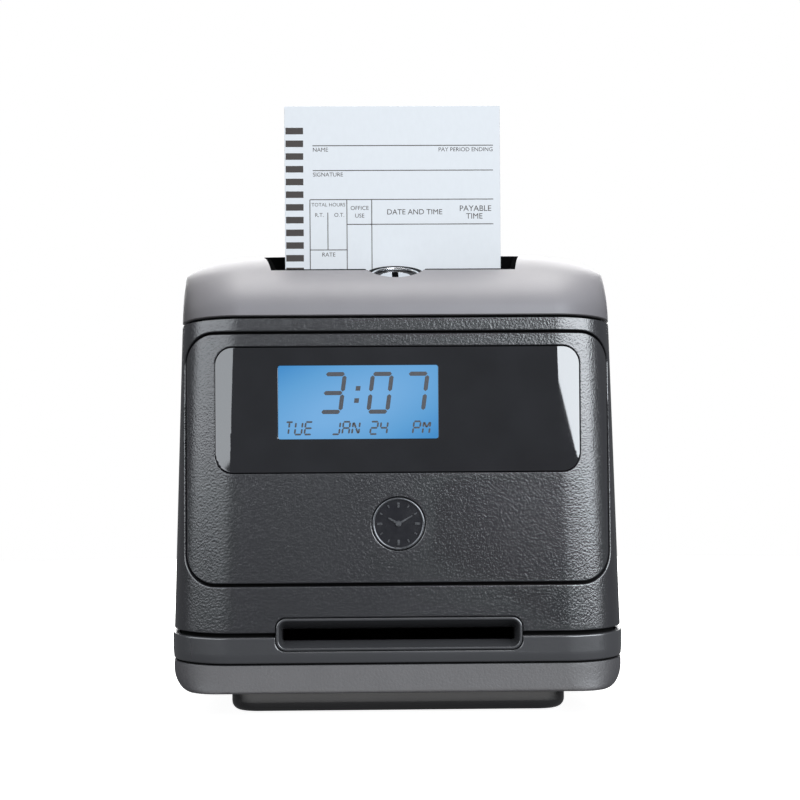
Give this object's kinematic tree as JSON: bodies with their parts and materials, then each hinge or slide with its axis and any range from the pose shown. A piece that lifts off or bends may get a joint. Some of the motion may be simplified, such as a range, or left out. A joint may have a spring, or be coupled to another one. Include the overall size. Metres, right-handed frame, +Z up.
{
  "type": "punch time clock",
  "caption": "Desk time clock with a time card standing in its top slot, an inset display panel, a lift-off locking cover, a card exit slot at the front and a print mechanism inside.",
  "frame": {"origin": "middle of the underside of the rubber feet", "axes": "+Z up, the front faces -Y, +X to the right seen from the front"},
  "size_m": [0.2072, 0.15, 0.2817],
  "materials": {
    "cover": "warm grey, fine moulded texture",
    "case": "satin charcoal with a fine metallic fleck",
    "band": "semi-gloss charcoal",
    "base": "dark grey, coarse moulded texture",
    "foot": "near black, smooth",
    "black": "black moulded",
    "lens": "gloss black",
    "badge": "gloss black, plain clock dial in relief",
    "lcd": "blue backlit display",
    "rubber": "black rubber",
    "steel": "zinc plated steel",
    "chrome": "polished chrome",
    "brass": "machined brass",
    "acetal": "off-white acetal",
    "button": "mid grey, matte",
    "board": "green laminate",
    "battery": "shrink sleeve",
    "card": "pale grey card"
  },
  "bodies": {
    "chassis": {"backup_battery": "battery", "badge_disc": "badge", "base_tray": "base", "buzzer": "black", "card_guide_front": "steel", "card_guide_rear": "steel", "card_sensor": "black", "carriage_bed": "steel", "carriage_belt": "rubber", "carriage_motor": "steel", "control_deck": "black", "display_board": "board", "display_lens": "lens", "exit_chute": "black", "feed_motor": "steel", "foot_plinth": "foot", "front_case": "case", "front_panel": "case", "guide_rod_lower": "steel", "guide_rod_upper": "steel", "lcd_module": "lcd", "lock_keeper": "steel", "lower_band": "band", "main_board": "board", "power_inlet": "black", "print_platen": "black", "rear_cover": "base", "ribbon_cassette": "black", "rubber_foot_front_left": "rubber", "rubber_foot_front_right": "rubber", "rubber_foot_rear_left": "rubber", "rubber_foot_rear_right": "rubber", "side_frame_left": "steel", "side_frame_right": "steel", "slot_bezel": "black"},
    "cover": {"top_cover": "cover", "card_throat": "black", "lock_well": "black", "lock_bezel": "chrome"},
    "lock": {"lock_plug": "steel", "lock_cam": "steel"},
    "card": {"time_card": "card"},
    "feed": {"feed_shaft": "steel", "feed_roller_left": "rubber", "feed_roller_right": "rubber", "feed_gear": "acetal"},
    "pinch": {"pinch_shaft": "steel", "pinch_roller_left": "rubber", "pinch_roller_right": "rubber"},
    "pinion": {"motor_pinion": "brass"},
    "carriage": {"head_carriage": "black", "print_head": "steel"},
    "drive": {"drive_pulley": "acetal"},
    "idler": {"idler_pulley": "acetal"},
    "knob": {"ribbon_knob": "button"},
    "button_1": {"set_button_1": "button"},
    "button_2": {"set_button_2": "button"},
    "button_3": {"set_button_3": "button"},
    "button_4": {"set_button_4": "button"}
  },
  "joints": [
    {"name": "cover_lift", "type": "slide", "parent": "chassis", "child": "cover", "axis": [0, 0, 1], "range_m": [0, 0.09]},
    {"name": "lock_turn", "type": "hinge", "parent": "cover", "child": "lock", "pos_m": [0, -0.045, 0.202], "axis": [0, -0.342, 0.9397], "range_deg": [0, 90]},
    {"name": "card_slide", "type": "slide", "parent": "chassis", "child": "card", "axis": [0, 0, 1], "range_m": [-0.01, 0.155]},
    {"name": "feed_turn", "type": "hinge", "parent": "chassis", "child": "feed", "pos_m": [0, -0.02015, 0.115], "axis": [1, 0, 0], "range_deg": [-1112, 74]},
    {"name": "pinch_turn", "type": "hinge", "parent": "chassis", "child": "pinch", "pos_m": [0, -0.03385, 0.115], "axis": [1, 0, 0], "range_deg": [-116, 1778]},
    {"name": "pinion_turn", "type": "hinge", "parent": "chassis", "child": "pinion", "pos_m": [0, -0.0039, 0.115], "axis": [1, 0, 0], "range_deg": [-218, 3334]},
    {"name": "carriage_slide", "type": "slide", "parent": "chassis", "child": "carriage", "axis": [1, 0, 0], "range_m": [0, 0.08]},
    {"name": "drive_turn", "type": "hinge", "parent": "chassis", "child": "drive", "pos_m": [0.048, -0.053, 0.07], "axis": [0, 0, 1], "range_deg": [-804, 2]},
    {"name": "idler_turn", "type": "hinge", "parent": "chassis", "child": "idler", "pos_m": [-0.048, -0.053, 0.07], "axis": [0, 0, 1], "range_deg": [-804, 2]},
    {"name": "knob_turn", "type": "hinge", "parent": "chassis", "child": "knob", "pos_m": [0.038, -0.052, 0.1133], "axis": [0, 0, 1], "continuous": true},
    {"name": "button_1_press", "type": "slide", "parent": "chassis", "child": "button_1", "axis": [0, 0, -1], "range_m": [0, 0.0015], "stiffness_N_per_m": 300, "springref_m": -0.0005},
    {"name": "button_2_press", "type": "slide", "parent": "chassis", "child": "button_2", "axis": [0, 0, -1], "range_m": [0, 0.0015], "stiffness_N_per_m": 300, "springref_m": -0.0005},
    {"name": "button_3_press", "type": "slide", "parent": "chassis", "child": "button_3", "axis": [0, 0, -1], "range_m": [0, 0.0015], "stiffness_N_per_m": 300, "springref_m": -0.0005},
    {"name": "button_4_press", "type": "slide", "parent": "chassis", "child": "button_4", "axis": [0, 0, -1], "range_m": [0, 0.0015], "stiffness_N_per_m": 300, "springref_m": -0.0005}
  ],
  "couplings": [
    {"joint": "feed_turn", "follows": "card_slide", "rad_per_m": -125},
    {"joint": "pinch_turn", "follows": "card_slide", "rad_per_m": 200},
    {"joint": "pinion_turn", "follows": "card_slide", "rad_per_m": 375},
    {"joint": "drive_turn", "follows": "carriage_slide", "rad_per_m": -175},
    {"joint": "idler_turn", "follows": "carriage_slide", "rad_per_m": -175}
  ]
}
